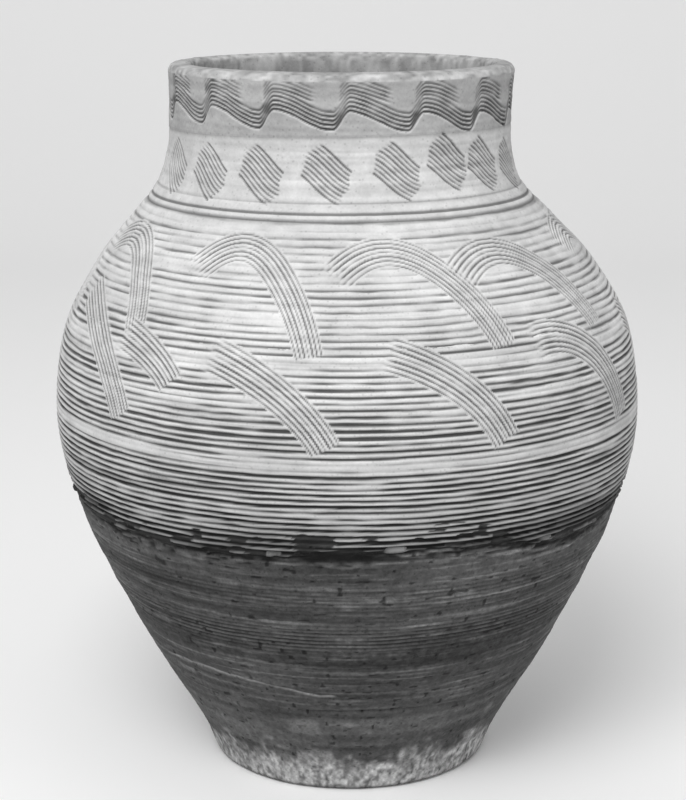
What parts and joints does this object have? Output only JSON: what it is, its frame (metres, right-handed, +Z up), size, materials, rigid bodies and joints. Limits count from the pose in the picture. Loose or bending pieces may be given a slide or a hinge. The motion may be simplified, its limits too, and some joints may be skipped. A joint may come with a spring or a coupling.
{
  "type": "pottery jar",
  "caption": "Tall hand-built earthenware storage jar with a narrow foot, round belly, short neck and thick rim band, combed all over its upper body.",
  "frame": {"origin": "on the ground under the middle of the belly", "axes": "+Z up through the mouth, -Y towards the side seen in front, +X to its right"},
  "size_m": [0.3247, 0.3248, 0.39],
  "materials": {
    "pale_clay": "unglazed, combed, pale and dry",
    "rim_clay": "unglazed, combed, a little darker and worn",
    "dark_clay": "unglazed, scraped smooth, smoke-darkened, pitted",
    "foot_clay": "unglazed, smoke-darkened, with whitish lime mottling"
  },
  "bodies": {
    "root": {"base_disc": "foot_clay", "foot_strip": "foot_clay", "lower_body_strip": "dark_clay", "mid_body_strip": "dark_clay", "belly_strip": "pale_clay", "upper_belly_strip": "pale_clay", "shoulder_strip": "pale_clay", "neck_strip": "rim_clay", "rim_band": "rim_clay"}
  },
  "joints": []
}
